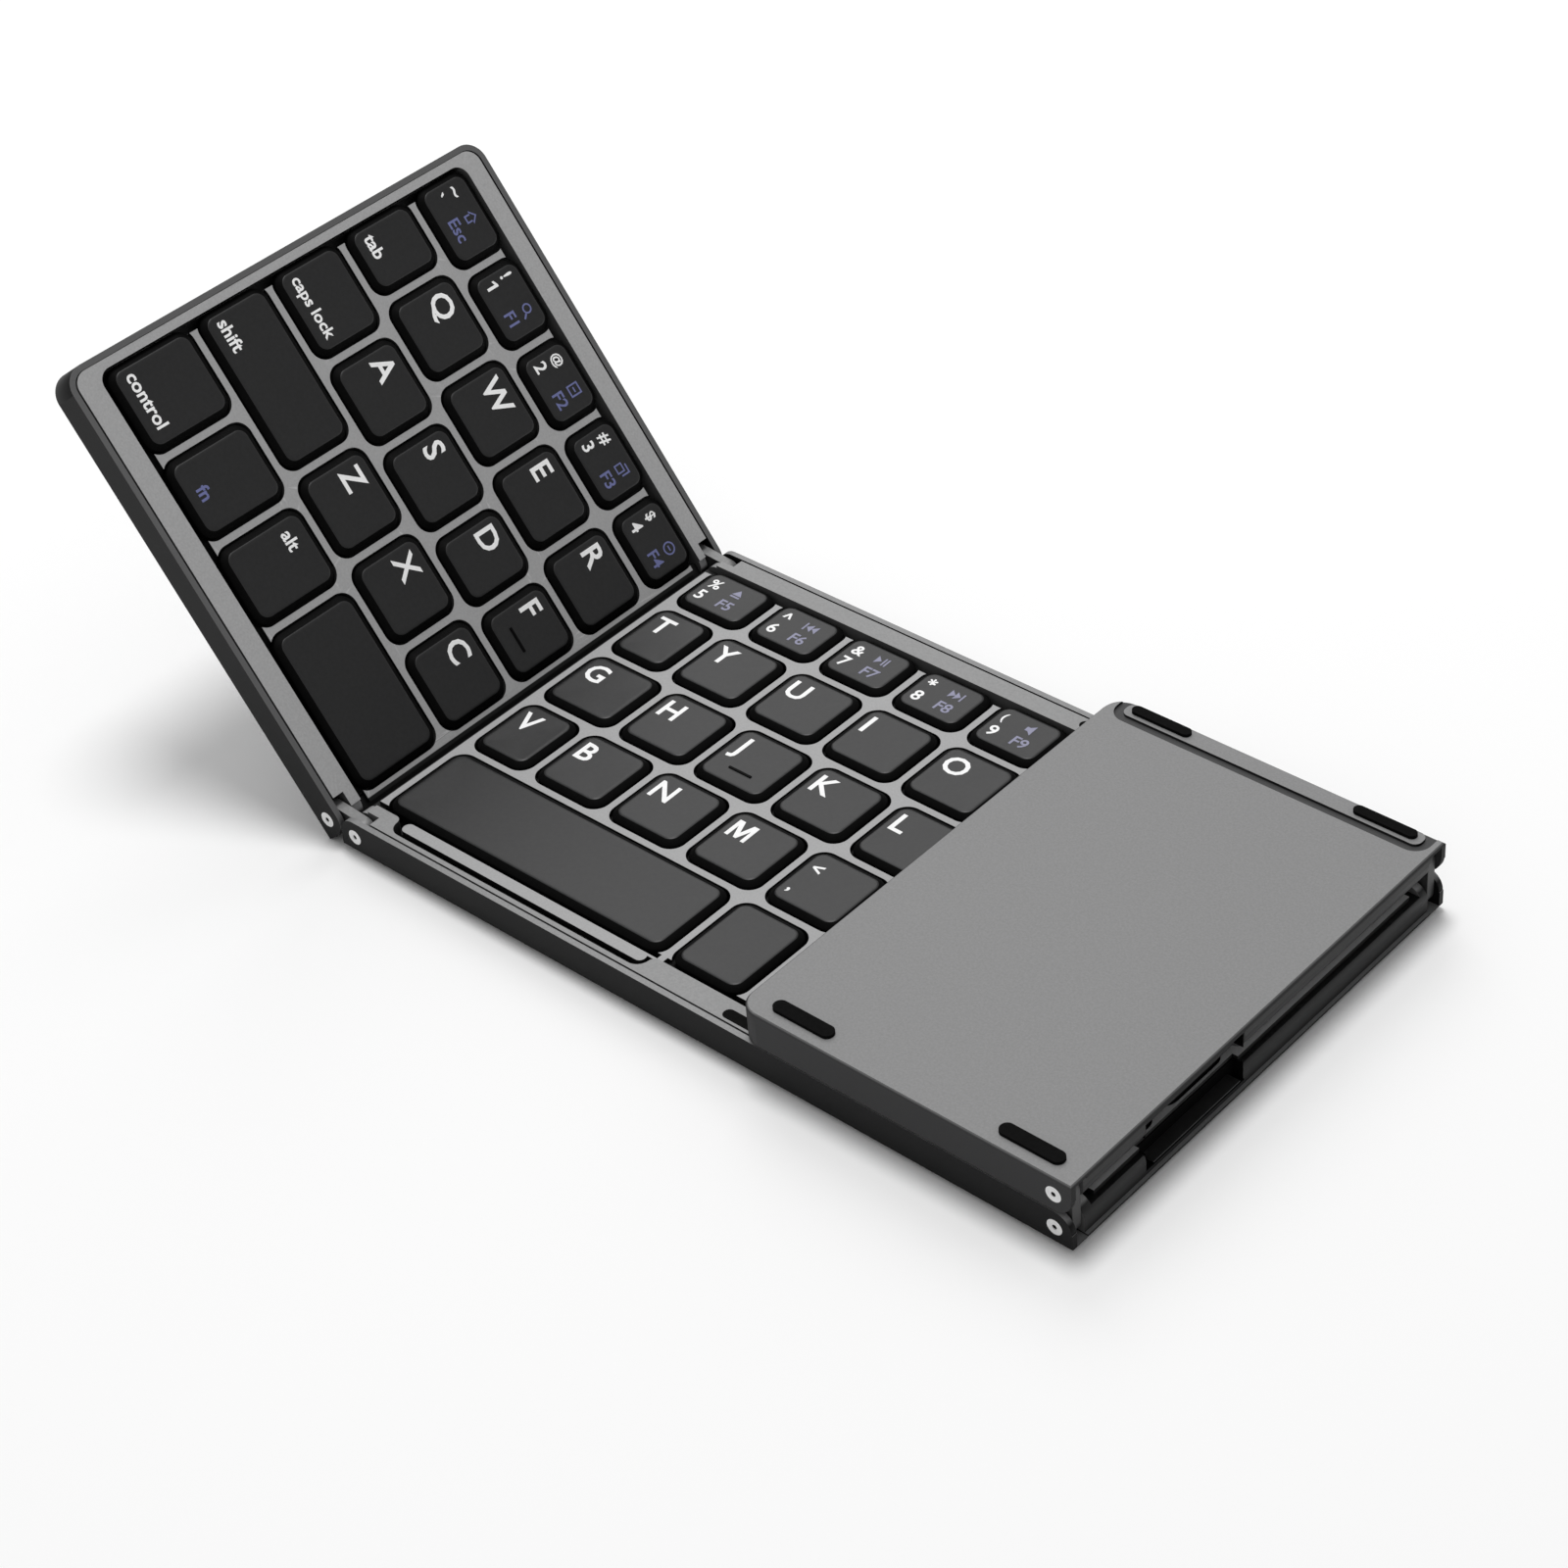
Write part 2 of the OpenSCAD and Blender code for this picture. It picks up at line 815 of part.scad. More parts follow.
// ---- right wing ----
rail_y0 = half - rail_w - rail_back;
rail_x0 = rail_in;
rail_x1 = right_l - rail_out;
socket_z = floor_t + 0.6;

module socket_cut() {
    block([socket_u, in_y - socket_l, socket_z],
        [socket_u + socket_w, half + 1, socket_z + socket_h]);
}

module socket_box(t, y0, y1) {
    block([socket_u + t, y0, socket_z + t],
        [socket_u + socket_w - t, y1, socket_z + socket_h - t]);
}

module right_shell() {
    color([0.45, 0.45, 0.46])
        on_right()
            difference() {
                shell(right_l, false, false);
                foot_set(right_l, right_foot_in, right_foot_out);
                slab(rail_x0 - moat_w, rail_x1 + moat_w, rail_y0 - moat_w,
                    rail_y0 + rail_w + 6, moat_w + rail_r, -1, moat_d);
                cable_cut();
                socket_cut();
            }
}

module right_foot_rail() {
    color([0.45, 0.45, 0.46])
        on_right()
            difference() {
                slab(rail_x0, rail_x1, rail_y0, rail_y0 + rail_w, rail_r, 0, moat_d);
                rail_feet(-0.1);
            }
}

module rail_feet(z0) {
    for (x = [rail_x0 + 1.3, rail_x1 - 1.3 - foot_l])
        slab(x, x + foot_l, rail_y0 + 0.8, rail_y0 + 0.8 + rear_foot_w, rear_foot_w / 2 - e,
            z0, moat_d - 0.2);
}

module right_feet() {
    color([0.06, 0.06, 0.06])
        on_right() {
            foot_set(right_l, right_foot_in, right_foot_out);
            rail_feet(-foot_h);
        }
}

touch_u1 = right_l - touch_out;
touch_z = thick - touch_t - touch_sink;

module right_frame() {
    color([0.5, 0.5, 0.51])
        on_right()
            difference() {
                frame_common(right_l, false);
                slab(touch_u0, touch_u1, -touch_y, touch_y, field_r - 0.1, touch_z, thick + 1);
                block([touch_u0 + touch_lip, -touch_y + touch_lip, 0],
                    [touch_u1 - touch_lip, touch_y - touch_lip, thick]);
                fold_side();
                link_notch();
                pin_holes(pin_u);
                cable_cut();
                socket_cut();
            }
}

module touch_surface() {
    color([0.3, 0.3, 0.31])
        on_right()
            slab(touch_u0 + touch_air, touch_u1 - touch_air, touch_air - touch_y,
                touch_y - touch_air, field_r - 0.1 - touch_air, touch_z, thick - touch_sink);
}

module touch_board() {
    color([0.1, 0.3, 0.2])
        on_right()
            block([touch_u0 + 2, -touch_y + 2, touch_z - board_t],
                [touch_u1 - 2, touch_y - 2, touch_z]);
}

module battery() {
    color([0.7, 0.7, 0.72])
        on_right()
            slab(touch_u0 + 4, touch_u1 - 4, batt_y[0], batt_y[1], 1.5, floor_t,
                floor_t + batt_t);
}

module main_board() {
    color([0.1, 0.32, 0.2])
        on_right() {
            block([touch_u0 + 3, board_y, floor_t],
                [touch_u1 - 3, touch_y - 2.5, floor_t + board_t]);
            for (k = [0, 1])
                translate([touch_u0 + chip_at[k][0], chip_at[k][1], floor_t])
                    cube(chip_size[k] + [0, 0, board_t]);
        }
}

module charging_socket() {
    color([0.8, 0.8, 0.8])
        on_right()
            difference() {
                socket_box(socket_air, in_y - socket_l + socket_air, half - 0.3);
                socket_box(socket_air + socket_t, in_y - socket_l + 0.8, half + 1);
            }
}

module right_hinge_pins() {
    color([0.85, 0.85, 0.85])
        on_right()
            pins(pin_u);
}

// ---- hinge links ----
module link_plate() {
    translate([0, link_y1, 0])
        rotate([90, 0, 0])
            linear_extrude(link_t)
                difference() {
                    union() {
                        translate([0, -link_r])
                            square([link_c, 2 * link_r]);
                        for (x = [0, link_c])
                            translate([x, 0])
                                circle(r = link_r);
                    }
                    for (x = [0, link_c])
                        translate([x, 0])
                            circle(d = pin_d + 2 * pin_fit);
                }
}

module left_link() {
    color([0.6, 0.6, 0.6])
        translate(left_pin)
            rotate([0, left_link_raise, 0])
                mirror([1, 0, 0])
                    link_plate();
}

module right_link() {
    color([0.6, 0.6, 0.6])
        translate(right_pin)
            rotate([0, -90, 0])
                link_plate();
}

module front_left_link() {
    mirror([0, 1, 0])
        left_link();
}

module rear_left_link() {
    left_link();
}

module front_right_link() {
    mirror([0, 1, 0])
        right_link();
}

module rear_right_link() {
    right_link();
}

// flat cable end lying in its slot, level with the key plate
module ribbon_cable() {
    color([0.08, 0.08, 0.08])
        on_middle()
            block([mid_l - 0.4 - cable_l, cable_y - cable_w / 2 + 1.5, cable_z],
                [mid_l - 0.4, cable_y + cable_w / 2 - 1.5, cable_z + cable_t]);
}

// ---- keys of the left wing ----
module grave_key() {
    left_cap(0, 4);
}

module one_key() {
    left_cap(0, 3);
}

module two_key() {
    left_cap(0, 2);
}

module three_key() {
    left_cap(0, 1);
}

module four_key() {
    left_cap(0, 0);
}

module tab_key() {
    left_cap(1, 4);
}

module q_key() {
    left_cap(1, 3);
}

module w_key() {
    left_cap(1, 2);
}

module e_key() {
    left_cap(1, 1);
}

module r_key() {
    left_cap(1, 0);
}

module caps_lock_key() {
    left_cap(2, 4);
}

module a_key() {
    left_cap(2, 3);
}

module s_key() {
    left_cap(2, 2);
}

module d_key() {
    left_cap(2, 1);
}

module f_key() {
    color([0.16, 0.16, 0.17])
        union() {
            left_cap(2, 0);
            on_left()
                finger_bar(left_3[0], row_lo[2]);
        }
}

module left_shift_key() {
    left_cap(3, 3);
}

module z_key() {
    left_cap(3, 2);
}

module x_key() {
    left_cap(3, 1);
}

module c_key() {
    left_cap(3, 0);
}

module control_key() {
    left_cap(4, 3);
}

module fn_key() {
    left_cap(4, 2);
}

module alt_key() {
    left_cap(4, 1);
}

module left_space_bar() {
    left_cap(4, 0);
}

// ---- keys of the middle panel ----
module space_bar() {
    mid_caps(4, [0]);
}

module middle_number_keys() {
    mid_caps(0, [0 : 8]);
}

module middle_upper_keys() {
    mid_caps(1, [0 : 8]);
}

module middle_home_keys() {
    color([0.2, 0.2, 0.21])
        union() {
            mid_caps(2, [0 : 6]);
            on_middle()
                finger_bar(mid_3[2], row_lo[2]);
        }
}

module enter_key() {
    mid_caps(2, [7]);
}

module middle_lower_keys() {
    mid_caps(3, [0 : 7]);
}

arrow_y = (row_lo[4] + row_hi[4]) / 2;

module middle_bottom_keys() {
    mid_caps(4, [1, 2, 3, 5]);
    color([0.2, 0.2, 0.21])
        on_middle() {
            cap(mid_rows[4][4], row_lo[4], arrow_y + key_air - 0.25);
            cap(mid_rows[4][4], arrow_y - key_air + 0.25, row_hi[4]);
        }
}

middle_shell();
middle_frame();
middle_web();
middle_key_plate();
middle_key_supports();
middle_feet();
middle_bumpers();
middle_hinge_pins();
left_shell();
left_frame();
left_web();
left_key_plate();
left_key_supports();
left_feet();
left_hinge_pins();
right_shell();
right_frame();
touch_surface();
touch_board();
battery();
main_board();
charging_socket();
right_feet();
right_foot_rail();
right_hinge_pins();
front_left_link();
rear_left_link();
front_right_link();
rear_right_link();
ribbon_cable();
grave_key();
one_key();
two_key();
three_key();
four_key();
tab_key();
q_key();
w_key();
e_key();
r_key();
caps_lock_key();
a_key();
s_key();
d_key();
f_key();
left_shift_key();
z_key();
x_key();
c_key();
control_key();
fn_key();
alt_key();
left_space_bar();
space_bar();
middle_number_keys();
middle_upper_keys();
middle_home_keys();
enter_key();
middle_lower_keys();
middle_bottom_keys();
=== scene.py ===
import json
import math

import bmesh
import bpy
from mathutils import Matrix, Vector


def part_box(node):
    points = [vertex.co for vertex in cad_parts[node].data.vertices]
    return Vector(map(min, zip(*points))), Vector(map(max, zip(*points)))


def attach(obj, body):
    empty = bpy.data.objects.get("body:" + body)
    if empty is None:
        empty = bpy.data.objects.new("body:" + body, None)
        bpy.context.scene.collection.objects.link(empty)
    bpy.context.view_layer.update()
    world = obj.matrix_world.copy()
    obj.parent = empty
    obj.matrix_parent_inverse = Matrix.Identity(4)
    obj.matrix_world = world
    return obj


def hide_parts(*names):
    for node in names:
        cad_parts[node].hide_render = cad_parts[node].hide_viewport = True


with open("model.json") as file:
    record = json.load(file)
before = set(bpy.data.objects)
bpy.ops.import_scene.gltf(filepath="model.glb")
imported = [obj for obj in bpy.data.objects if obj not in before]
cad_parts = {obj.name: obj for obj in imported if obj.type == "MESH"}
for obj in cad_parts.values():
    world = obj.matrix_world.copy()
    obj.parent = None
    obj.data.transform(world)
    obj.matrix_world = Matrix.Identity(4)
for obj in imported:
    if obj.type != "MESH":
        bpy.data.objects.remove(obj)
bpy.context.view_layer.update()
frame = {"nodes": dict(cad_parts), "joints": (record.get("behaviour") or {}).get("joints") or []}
scene = bpy.context.scene
nodes = frame["nodes"]

# ---- Camera ----
# The photograph's own viewpoint: front right, 38 degrees above the table, with a
# moderate telephoto lens.
view_turn = Vector((2.141, 0.768, -0.471))
view_place = (0.34424, -0.3391, 0.3914)
to_camera = Matrix.Rotation(view_turn.length, 3, view_turn.normalized())
flip = Matrix(((1, 0, 0), (0, -1, 0), (0, 0, -1)))
facing = (to_camera.transposed() @ flip).to_4x4()
camera_data = bpy.data.cameras.new("photo_camera")
camera_data.sensor_width = 36
camera_data.lens = 83.34
camera_data.shift_x = 0.0062
camera_data.shift_y = -0.0304
camera_data.clip_start = 0.01
camera = bpy.data.objects.new("photo_camera", camera_data)
camera.matrix_world = Matrix.Translation(view_place) @ facing
scene.collection.objects.link(camera)
scene.camera = camera

# ---- Table and studio ----
# A plain white table under a large soft light almost overhead, with a fainter one
# low behind on the left and an even grey-white room round it.
table_half = 3
table_white = (0.97, 0.97, 0.97, 1)
table_rough = 0.9
table_shine = 0.05
room_white = (1, 1, 1, 1)
room_level = 0.4
table_corners = [
    (-table_half, -table_half, 0),
    (table_half, -table_half, 0),
    (table_half, table_half, 0),
    (-table_half, table_half, 0),
]
table_mesh = bpy.data.meshes.new("table")
table_mesh.from_pydata(table_corners, [], [(0, 1, 2, 3)])
table = bpy.data.objects.new("table", table_mesh)
scene.collection.objects.link(table)
table_mat = bpy.data.materials.new("white_table")
table_mat.use_nodes = True
table_shader = table_mat.node_tree.nodes["Principled BSDF"]
table_shader.inputs["Base Color"].default_value = table_white
table_shader.inputs["Roughness"].default_value = table_rough
table_shader.inputs["Specular IOR Level"].default_value = table_shine
table_mesh.materials.append(table_mat)

room = bpy.data.worlds.new("studio")
scene.world = room
room.use_nodes = True
room_shader = room.node_tree.nodes["Background"]
room_shader.inputs["Color"].default_value = room_white
room_shader.inputs["Strength"].default_value = room_level


def soft_light(name, place, size, power):
    lamp = bpy.data.lights.new(name, "AREA")
    lamp.shape = "DISK"
    lamp.size = size
    lamp.energy = power
    stand = bpy.data.objects.new(name, lamp)
    stand.location = place
    to_middle = -Vector(place)
    stand.rotation_euler = to_middle.to_track_quat("-Z", "Y").to_euler()
    scene.collection.objects.link(stand)


soft_light("top_box", (-0.25, 0.25, 1.9), 0.7, 20)
soft_light("rear_box", (-0.8, 0.8, 0.95), 0.9, 4.2)
scene.view_settings.view_transform = "Standard"

# ---- Metal shells ----
# Three shallow trays pressed from aluminium, dark grey anodised and bead blasted
# to a fine matt grain. Their side walls are painted darker than their faces, as painted shade.
wing_raise = math.radians(53)
up_level = (0.0, 0.0, 1.0)
up_left = (math.sin(wing_raise), 0.0, math.cos(wing_raise))
down_left = tuple(-part for part in up_left)
blast_scale = 2600
matt = 0.5
pit_strength = 0.15
pit_depth = 0.00005
weld_reach = 0.000002
edge_angle = math.radians(35)
shell_edge = 0.00012
left_shell_edge = 0.0002
rail_edge = 0.00008
shell_face = (0.25, 0.25, 0.252)
# painted shade: the walls are the faces' metal painted darker, for the light they miss
shell_wall_shade = (0.006, 0.006, 0.0062)
wing_face = (0.24, 0.24, 0.241)
wing_end_shade = (0.004, 0.004, 0.004)
wing_front_shade = (0.03, 0.03, 0.031)
rim_grey = (0.14, 0.14, 0.141)
rim_depth = 0.0006
# painted shade in the foot rail's channel
channel_shade_grey = (0.06, 0.06, 0.061)
channel_depth = 0.0002
tone_edge = 0.0001


def grain_tint(tree, source, colour, spread):
    shade = tree.nodes.new("ShaderNodeValToRGB")
    ends = shade.color_ramp.elements
    ends[0].position = 0.3
    ends[0].color = (*[c * (1 - spread) for c in colour], 1)
    ends[1].position = 0.7
    ends[1].color = (*[min(1, c * (1 + spread)) for c in colour], 1)
    tree.links.new(source, shade.inputs["Fac"])
    return shade.outputs["Color"]


def one_or_other(tree, factor, low, high):
    mix = tree.nodes.new("ShaderNodeMix")
    mix.data_type = "RGBA"
    tree.links.new(factor, mix.inputs["Factor"])
    for value, socket in [(low, "A"), (high, "B")]:
        if isinstance(value, tuple):
            mix.inputs[socket].default_value = (*value, 1)
        else:
            tree.links.new(value, mix.inputs[socket])
    return mix.outputs["Result"]


def soft_step(tree, source, low, high):
    step = tree.nodes.new("ShaderNodeMapRange")
    step.interpolation_type = "SMOOTHSTEP"
    step.inputs["From Min"].default_value = low
    step.inputs["From Max"].default_value = high
    tree.links.new(source, step.inputs["Value"])
    return step.outputs["Result"]


def reach_along(tree, source, way):
    reach = tree.nodes.new("ShaderNodeVectorMath")
    reach.operation = "DOT_PRODUCT"
    reach.inputs[1].default_value = way
    tree.links.new(source, reach.inputs[0])
    return reach.outputs["Value"]


def either_way(tree, source):
    size = tree.nodes.new("ShaderNodeMath")
    size.operation = "ABSOLUTE"
    tree.links.new(source, size.inputs[0])
    return size.outputs["Value"]


# A colour with a fine grain and shallow pits. "deep" gives another colour to what
# lies short of a place along one direction. "sides" gives two more to the walls, both painted
# shade: one for those that face a fold or an end, one for those that face front or rear.
def grained(
    name,
    colour,
    rough,
    spread,
    scale=1500,
    metal=0.0,
    shine=0.5,
    sides=None,
    up=None,
    deep=None,
):
    mat = bpy.data.materials.new(name)
    mat.use_nodes = True
    tree = mat.node_tree
    shader = tree.nodes["Principled BSDF"]
    place = tree.nodes.new("ShaderNodeTexCoord")
    fine = tree.nodes.new("ShaderNodeTexNoise")
    fine.inputs["Scale"].default_value = scale
    fine.inputs["Detail"].default_value = 3
    tree.links.new(place.outputs["Object"], fine.inputs["Vector"])
    tint = grain_tint(tree, fine.outputs["Fac"], colour, spread)
    if deep:
        colour_short, way, limit, blur = deep
        reach = reach_along(tree, place.outputs["Object"], way)
        beyond = soft_step(tree, reach, limit - blur, limit + blur)
        tint = one_or_other(tree, beyond, colour_short, tint)
    # the walls are painted darker than the faces: painted shade
    if sides:
        end_shade, front_shade, wall_from, face_from = sides
        normal = place.outputs["Normal"]
        frontness = either_way(tree, reach_along(tree, normal, (0, 1, 0)))
        to_front = soft_step(tree, frontness, 0.5, 0.8)
        wall = one_or_other(tree, to_front, end_shade, front_shade)
        flatness = either_way(tree, reach_along(tree, normal, up))
        flat = soft_step(tree, flatness, wall_from, face_from)
        tint = one_or_other(tree, flat, wall, tint)
    tree.links.new(tint, shader.inputs["Base Color"])
    pits = tree.nodes.new("ShaderNodeBump")
    pits.inputs["Strength"].default_value = pit_strength
    pits.inputs["Distance"].default_value = pit_depth
    tree.links.new(fine.outputs["Fac"], pits.inputs["Height"])
    tree.links.new(pits.outputs["Normal"], shader.inputs["Normal"])
    shader.inputs["Metallic"].default_value = metal
    shader.inputs["Roughness"].default_value = rough
    shader.inputs["Specular IOR Level"].default_value = shine
    return mat


def finish_node(name, mat, edge=0.0):
    solid = nodes[name]
    solid.data.materials.clear()
    solid.data.materials.append(mat)
    if edge:
        weld = solid.modifiers.new("weld", "WELD")
        weld.merge_threshold = weld_reach
        soft = solid.modifiers.new("soft_edge", "BEVEL")
        soft.width = edge
        soft.segments = 2
        soft.limit_method = "ANGLE"
        soft.angle_limit = edge_angle


def finish_panel(part, name, edge, up, look, deep=None):
    mat = grained(name, rough=matt, scale=blast_scale, up=up, deep=deep, **look)
    finish_node(part, mat, edge)


def lowest_along(node, way):
    return min(v.co.dot(Vector(way)) for v in nodes[node].data.vertices)


shell_look = {
    "colour": shell_face,
    "spread": 0.07,
    "metal": 0.35,
    "shine": 0.12,
    "sides": (shell_wall_shade, shell_wall_shade, 0.5, 0.9),
}
wing_look = {
    "colour": wing_face,
    "spread": 0.07,
    "metal": 0.1,
    "shine": 0.15,
    "sides": (wing_end_shade, wing_front_shade, 0.5, 0.9),
}
finish_panel("middle_shell", "anodised_middle", shell_edge, up_level, shell_look)
# the raised wing's rim, round its bezel, is darker than the bezel
rim_place = lowest_along("left_shell", down_left) + rim_depth
rim = (rim_grey, down_left, rim_place, tone_edge)
finish_panel("left_shell", "anodised_left", left_shell_edge, up_left, shell_look, rim)
# the channel that the foot rail lies in is painted darker than the face round it: painted shade
# in the groove
channel_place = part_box("right_shell")[1][2] - channel_depth
channel = (channel_shade_grey, up_level, channel_place, tone_edge)
finish_panel(
    "right_shell", "anodised_right", shell_edge, up_level, wing_look, channel
)
finish_panel("right_foot_rail", "anodised_rail", rail_edge, up_level, wing_look)

# ---- Bezels and webs ----
# Grey moulded plastic: each bezel is dropped into its shell, and the key web snaps
# into the bezel. The web's seat and its lip at a fold are painted black: painted shade in the
# fold's gap.
# painted shade: black in the fold's gap and near black on the bezels' and webs' walls
seat_shade_black = (0.002, 0.002, 0.002)
wall_shade_black = (0.01, 0.01, 0.01)
web_wall_shade = (0.008, 0.008, 0.008)
bezel_edge = 0.0001
seat_down = 0.0014
left_seat_over_pins = 0.00185
lip_blur = 0.00003
# the wings' bezels and the middle one are one grey plastic, in a lit and a shaded copy: painted
# light and shade for how each panel faces the lamps
wing_bezel_lit_look = {
    "colour": (0.38, 0.38, 0.382),
    "spread": 0.08,
    "shine": 0.3,
    "sides": (wall_shade_black, (0.09, 0.09, 0.09), 0.7, 0.9),
}
middle_bezel_shaded_look = {
    "colour": (0.28, 0.28, 0.281),
    "spread": 0.08,
    "shine": 0.3,
    "sides": (wall_shade_black, (0.12, 0.12, 0.12), 0.7, 0.9),
}
web_look = {
    "colour": (0.37, 0.37, 0.372),
    "spread": 0.06,
    "shine": 0.3,
    "sides": (web_wall_shade, web_wall_shade, 0.7, 0.94),
}
along_left = (-math.cos(wing_raise), 0.0, math.sin(wing_raise))
along_middle = (1.0, 0.0, 0.0)
face_down = (0.0, 0.0, -1.0)
left_hinge = next(j for j in frame["joints"] if j["name"] == "left_wing_hinge")
left_pins = Vector(left_hinge["pos_m"]).dot(Vector(up_left))
middle_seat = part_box("middle_frame")[1][2] - seat_down
left_seat = left_pins + left_seat_over_pins
right_seat = -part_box("right_frame")[0][2] - seat_down
for part, name, up, seat, look in [
    ("middle_frame", "bezel_middle", up_level, middle_seat, middle_bezel_shaded_look),
    ("left_frame", "bezel_left", up_left, left_seat, wing_bezel_lit_look),
    ("right_frame", "bezel_right", face_down, right_seat, wing_bezel_lit_look),
]:
    below_seat = (seat_shade_black, up, seat, tone_edge)
    finish_panel(part, name, bezel_edge, up, look, below_seat)
for part, name, up, way, lip_width in [
    ("middle_web", "web_middle", up_level, along_middle, 0.0002),
    ("left_web", "web_left", up_left, along_left, 0.0007),
]:
    lip = (seat_shade_black, way, lowest_along(part, way) + lip_width, lip_blur)
    finish_panel(part, name, bezel_edge, up, web_look, lip)

# ---- Inside ----
# Stamped key plates and moulded key supports in black, two green circuit boards,
# the foil battery and the end of the flat cable, all screwed or stuck in the trays.
plate_mat = grained("black_plate", (0.01, 0.01, 0.01), 0.6, 0.2, 900)
support_mat = grained("support_plastic", (0.02, 0.02, 0.02), 0.6, 0.2, 900)
board_mat = grained("board", (0.02, 0.09, 0.05), 0.35, 0.15, 600)
cable_mat = grained("cable_film", (0.015, 0.015, 0.015), 0.4, 0.2, 900)
cell_mat = grained("cell_foil", (0.5, 0.5, 0.5), 0.35, 0.05, 400, metal=0.8)
for name in ["middle_key_plate", "left_key_plate"]:
    finish_node(name, plate_mat)
for name in ["middle_key_supports", "left_key_supports"]:
    finish_node(name, support_mat)
for name in ["touch_board", "main_board"]:
    finish_node(name, board_mat)
finish_node("ribbon_cable", cable_mat)
finish_node("battery", cell_mat)

# ---- Notch shade ----
# Black sheets in the notches that the flat cable passes through, painted shade for
# the deep openings: one riding on the middle panel and one on the right wing, a
# floor, a back and two cheeks each.
notch_shade_mat = grained("notch_shade_black", (0.002, 0.002, 0.002), 0.9, 0.2, 900, shine=0.05)
shade_sheet_t = 0.00015
end_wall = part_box("middle_shell")[1][0]
notch_low_y = -0.02998
notch_high_y = -0.00502
notch_in = end_wall - 0.00296
floor_end = end_wall - 0.0007
cheek_end = end_wall - 0.0009


def add_box(bm, low, high):
    for v in bmesh.ops.create_cube(bm, size=1)["verts"]:
        for k in range(3):
            v.co[k] = (low[k] + high[k]) / 2 + v.co[k] * (high[k] - low[k])


def new_piece(name, bm, mats):
    mesh = bpy.data.meshes.new(name)
    bmesh.ops.recalc_face_normals(bm, faces=bm.faces)
    bm.to_mesh(mesh)
    bm.free()
    for mat in mats:
        mesh.materials.append(mat)
    piece = bpy.data.objects.new(name, mesh)
    scene.collection.objects.link(piece)
    return piece


for name, body, floor, brim in [
    ("middle_notch_shade", "middle_panel", 0.00211, 0.0055),
    ("right_notch_shade", "right_wing", 0.01239, 0.0088),
]:
    bm = bmesh.new()
    floor_top = floor + math.copysign(shade_sheet_t, brim - floor)
    floor_low, floor_high = sorted([floor, floor_top])
    wall_low, wall_high = sorted([floor_top, brim])
    back = notch_in + shade_sheet_t
    add_box(
        bm,
        (notch_in, notch_low_y, floor_low),
        (floor_end, notch_high_y, floor_high),
    )
    add_box(bm, (notch_in, notch_low_y, wall_low), (back, notch_high_y, wall_high))
    for y in [notch_low_y, notch_high_y - shade_sheet_t]:
        add_box(bm, (back, y, wall_low), (cheek_end, y + shade_sheet_t, wall_high))
    shade_sheet = new_piece(name, bm, [notch_shade_mat])
    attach(shade_sheet, body)

# ---- Touch panel and socket ----
# A satin black touch surface let into the right wing, and the pressed-steel
# charging socket in its rear wall.
touch_edge = 0.0001
touch_mat = grained("touch_surface", (0.02, 0.02, 0.021), 0.35, 0.1, 1800)
socket_mat = grained("socket_steel", (0.55, 0.55, 0.55), 0.3, 0.05, 1200, metal=1.0)
finish_node("touch_surface", touch_mat, touch_edge)
finish_node("charging_socket", socket_mat)

# ---- Hinges ----
# Turned steel pins pressed flush into the side walls, each with a dimple in its
# head, and flat grey links that ride on them.
pin_edge = 0.00006
link_edge = 0.0001
# the links' walls are painted darker than their tops: painted shade
link_wall_shade = (0.03, 0.03, 0.03)
link_mat = grained(
    "link_steel",
    (0.2, 0.2, 0.2),
    0.45,
    0.1,
    metal=0.2,
    sides=(link_wall_shade, link_wall_shade, 0.6, 0.9),
    up=up_level,
)
pin_mat = grained("pin_steel", (0.8, 0.8, 0.8), 0.4, 0.05, 1200, metal=0.3)
pin_dimple_shade = (0.008, 0.008, 0.008)
head_from_middle = 0.0486
head_blur = 0.00005
# only the heads' flat ends are bright: what lies further in, such as the dimple's
# floor, is painted black: painted shade in the dimple
tree = pin_mat.node_tree
pin_colour = tree.nodes["Principled BSDF"].inputs["Base Color"]
bright = pin_colour.links[0].from_socket
pin_place = tree.nodes.new("ShaderNodeTexCoord").outputs["Object"]
outward = either_way(tree, reach_along(tree, pin_place, (0, 1, 0)))
head = soft_step(
    tree, outward, head_from_middle - head_blur, head_from_middle + head_blur
)
tree.links.new(one_or_other(tree, head, pin_dimple_shade, bright), pin_colour)
for name in ["middle_hinge_pins", "left_hinge_pins", "right_hinge_pins"]:
    finish_node(name, pin_mat, pin_edge)
for name in [
    "front_left_link",
    "rear_left_link",
    "front_right_link",
    "rear_right_link",
]:
    finish_node(name, link_mat, link_edge)

# ---- Feet and bumpers ----
# Black rubber pads glued into shallow pockets: four feet on each panel's outer
# face, and two bumpers on the middle bezel, under the free end of the right wing.
rubber_edge = 0.0002
rubber_mat = grained("rubber", (0.003, 0.003, 0.003), 0.85, 0.3, shine=0.08)
for name in ["middle_feet", "left_feet", "right_feet", "middle_bumpers"]:
    finish_node(name, rubber_mat, rubber_edge)

# ---- Key caps ----
# Black moulded caps with steep sides, a rounded rim and a shallow dish. Each cap
# clips over its crossed support and moves 1.2 mm down.
cap_mat = grained("key_cap", (0.013, 0.013, 0.0134), 0.42, 0.15, shine=0.4)
